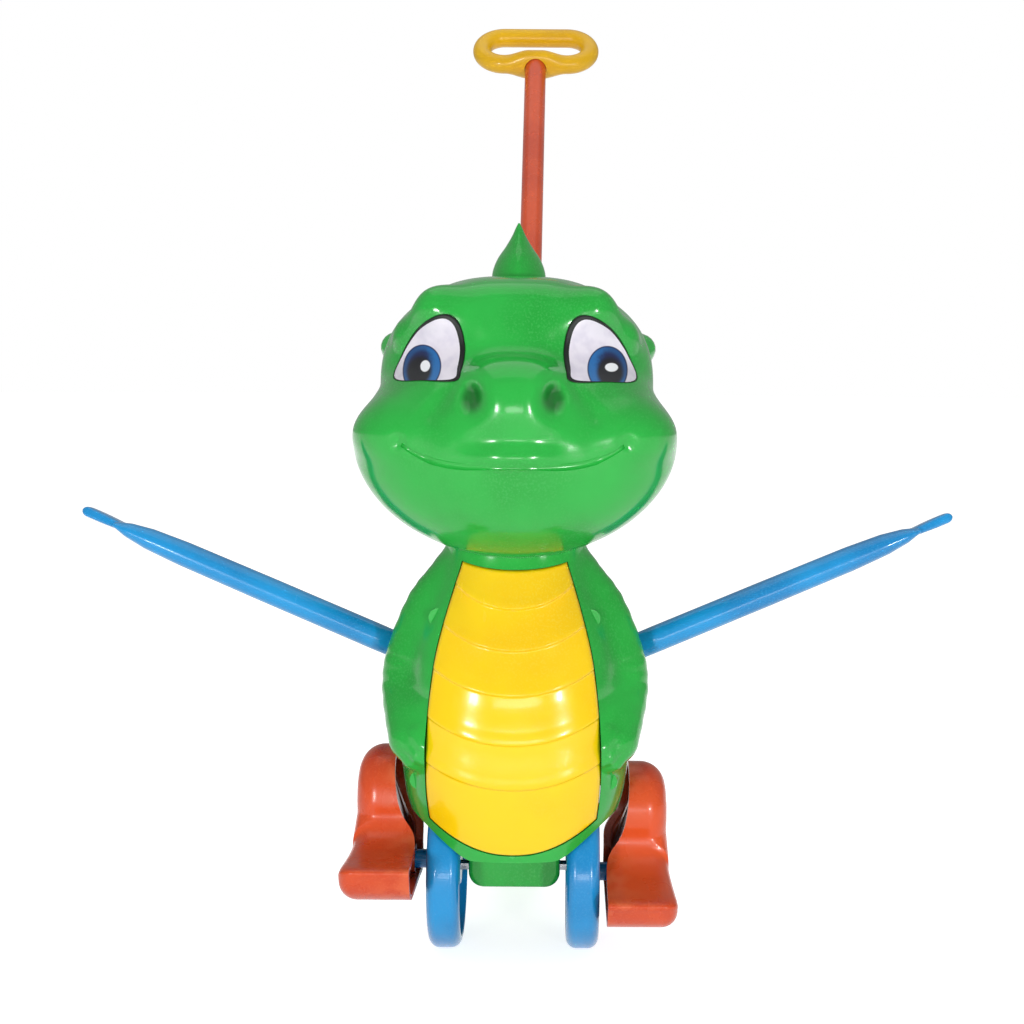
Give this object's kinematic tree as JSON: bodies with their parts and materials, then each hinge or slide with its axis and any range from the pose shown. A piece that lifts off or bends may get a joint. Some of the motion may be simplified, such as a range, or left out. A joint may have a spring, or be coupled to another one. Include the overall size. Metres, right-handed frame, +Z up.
{
  "type": "toddler push toy",
  "caption": "Plastic dragon push toy on wheels, with feet that walk on cranks, wings that flap and a stick with a loop handle.",
  "frame": {"origin": "on the floor, under the centre of the toy's outer box", "axes": "+Z up, the face looks along -Y, the stick leans back along +Y, +X is the toy's left side"},
  "size_m": [0.3512, 0.4926, 0.4498],
  "materials": {
    "green_plastic": "moulded, glossy",
    "yellow_plastic": "moulded, glossy",
    "blue_plastic": "moulded, glossy",
    "red_plastic": "moulded, glossy",
    "handle_plastic": "moulded, glossy",
    "white_print": "printed film",
    "steel": "drawn wire",
    "grey_plastic": "moulded, unpainted"
  },
  "bodies": {
    "toy_body": {"axle_carrier": "green_plastic", "belly_plate": "yellow_plastic", "eye_label_left": "white_print", "eye_label_right": "white_print", "handle_loop": "handle_plastic", "head_back_shell": "green_plastic", "head_crest": "green_plastic", "head_front_shell": "green_plastic", "stick_lower": "red_plastic", "stick_socket": "green_plastic", "stick_upper": "red_plastic", "tail": "green_plastic", "torso_back_shell": "green_plastic", "torso_front_shell": "green_plastic", "torso_screw_1": "steel", "torso_screw_2": "steel", "torso_screw_3": "steel", "torso_screw_4": "steel", "wing_bracket": "grey_plastic", "wing_pin_left": "steel", "wing_pin_right": "steel"},
    "axle": {"axle_shaft": "steel", "wheel_left": "blue_plastic", "wheel_right": "blue_plastic"},
    "left_foot": {"foot_left": "red_plastic"},
    "right_foot": {"foot_right": "red_plastic"},
    "left_wing": {"wing_left": "blue_plastic"},
    "right_wing": {"wing_right": "blue_plastic"},
    "lifter": {"wing_lifter": "grey_plastic"}
  },
  "joints": [
    {"name": "axle_spin", "type": "hinge", "parent": "toy_body", "child": "axle", "pos_m": [0, -0.18051, 0.032], "axis": [1, 0, 0], "continuous": true},
    {"name": "left_foot_turn", "type": "hinge", "parent": "axle", "child": "left_foot", "pos_m": [0.042, -0.175, 0.02769], "axis": [1, 0, 0], "continuous": true},
    {"name": "right_foot_turn", "type": "hinge", "parent": "axle", "child": "right_foot", "pos_m": [-0.042, -0.18603, 0.03631], "axis": [1, 0, 0], "continuous": true},
    {"name": "left_wing_flap", "type": "hinge", "parent": "toy_body", "child": "left_wing", "pos_m": [0.024, -0.17151, 0.109], "axis": [0, -1, 0], "range_deg": [-32, 0]},
    {"name": "right_wing_flap", "type": "hinge", "parent": "toy_body", "child": "right_wing", "pos_m": [-0.024, -0.17151, 0.109], "axis": [0, 1, 0], "range_deg": [-32, 0]},
    {"name": "lifter_slide", "type": "slide", "parent": "toy_body", "child": "lifter", "axis": [0, 0, 1], "range_m": [-0.0068, 0]}
  ],
  "couplings": [
    {"joint": "left_foot_turn", "follows": "axle_spin", "ratio": -1},
    {"joint": "right_foot_turn", "follows": "axle_spin", "ratio": -1},
    {"joint": "right_wing_flap", "follows": "left_wing_flap", "ratio": 1},
    {"joint": "lifter_slide", "follows": "left_wing_flap", "m_per_rad": 0.012174}
  ]
}
